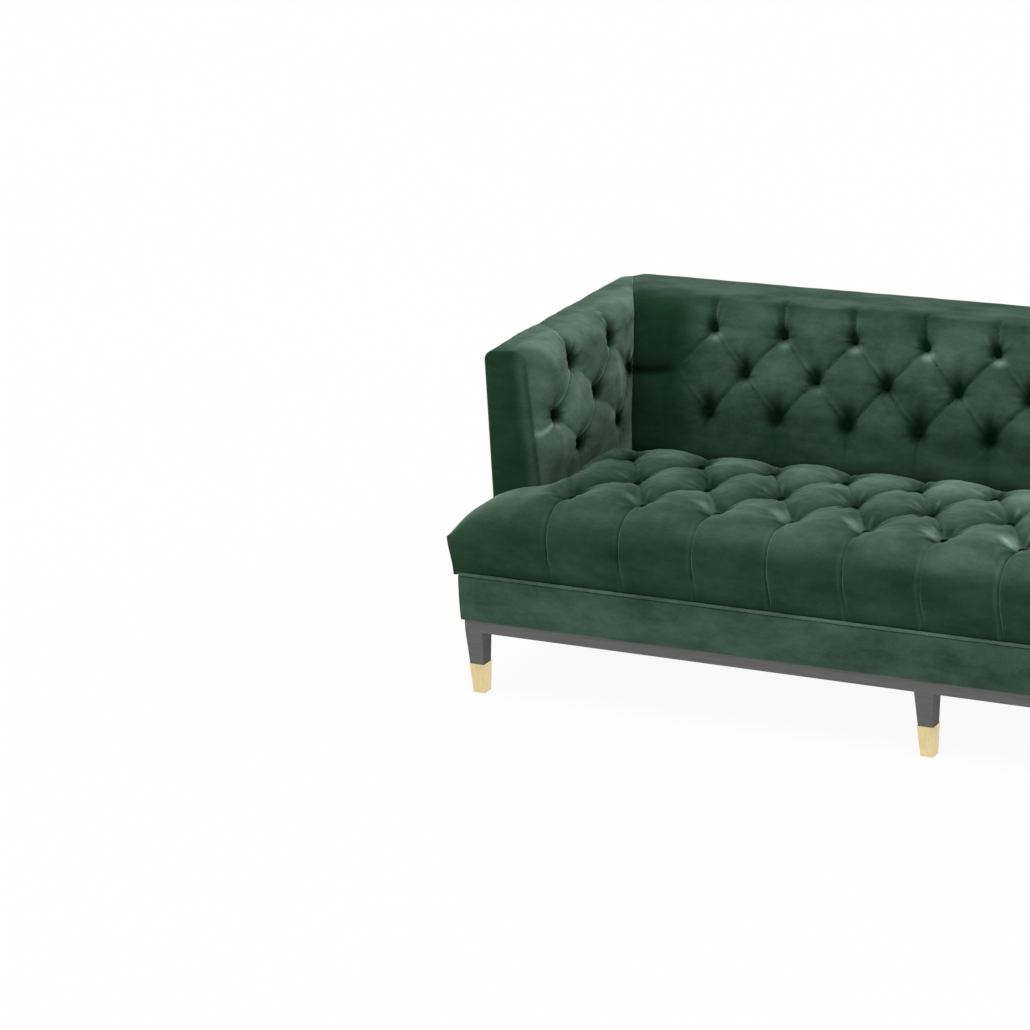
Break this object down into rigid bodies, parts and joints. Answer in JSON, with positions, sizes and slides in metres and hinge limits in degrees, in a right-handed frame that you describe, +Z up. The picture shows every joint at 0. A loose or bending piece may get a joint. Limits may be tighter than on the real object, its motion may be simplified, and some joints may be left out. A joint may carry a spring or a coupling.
{
  "type": "tufted sofa",
  "caption": "Bench-seat sofa with deep diamond tufting on seat, back and arms, an upholstered base band, a lacquered plinth and tapered legs with metal foot caps.",
  "frame": {"origin": "on the floor, under the middle of the sofa", "axes": "+X along the sofa towards the arm on a sitter's left, -Y out of the front, +Z up"},
  "size_m": [2.298, 0.916, 0.7701],
  "materials": {
    "velvet": "deep green short-pile velvet",
    "velvet_trim": "deep green velvet over buttons and piping",
    "foam": "open-cell upholstery foam",
    "webbing": "elastic webbing",
    "dust_cloth": "black spun-bond cloth",
    "hardwood": "planed beech",
    "plywood": "birch plywood",
    "lacquer": "charcoal satin lacquer",
    "bolt_steel": "zinc-plated steel",
    "cap_brass": "pale brushed brass",
    "glide_nylon": "black nylon"
  },
  "bodies": {
    "root": {"seat_pad": "velvet", "back_pad": "velvet", "left_arm_pad": "velvet", "right_arm_pad": "velvet", "left_arm_facing": "velvet", "right_arm_facing": "velvet", "left_outside_panel": "velvet", "right_outside_panel": "velvet", "outside_back_panel": "velvet", "front_band": "velvet", "left_band": "velvet", "right_band": "velvet", "seat_welt": "velvet", "seat_buttons": "velvet_trim", "back_buttons": "velvet_trim", "left_arm_buttons": "velvet_trim", "right_arm_buttons": "velvet_trim", "seat_foam": "foam", "back_foam": "foam", "arm_foam": "foam", "seat_straps": "webbing", "cross_straps": "webbing", "back_straps": "webbing", "dust_cover": "dust_cloth", "front_seat_rail": "hardwood", "back_seat_rail": "hardwood", "side_seat_rails": "hardwood", "cross_rails": "hardwood", "corner_blocks": "hardwood", "arm_front_posts": "hardwood", "arm_rear_posts": "hardwood", "arm_top_rails": "hardwood", "arm_tack_rails": "hardwood", "back_top_rail": "hardwood", "back_tack_rail": "hardwood", "back_ribs": "plywood", "plinth_front": "lacquer", "plinth_back": "lacquer", "plinth_left": "lacquer", "plinth_right": "lacquer", "leg_front_left": "lacquer", "leg_front_middle": "lacquer", "leg_front_right": "lacquer", "leg_rear_left": "lacquer", "leg_rear_middle": "lacquer", "leg_rear_right": "lacquer", "leg_bolts": "bolt_steel", "cap_front_left": "cap_brass", "cap_front_middle": "cap_brass", "cap_front_right": "cap_brass", "cap_rear_left": "cap_brass", "cap_rear_middle": "cap_brass", "cap_rear_right": "cap_brass", "glide_front_left": "glide_nylon", "glide_front_middle": "glide_nylon", "glide_front_right": "glide_nylon", "glide_rear_left": "glide_nylon", "glide_rear_middle": "glide_nylon", "glide_rear_right": "glide_nylon"}
  },
  "joints": []
}
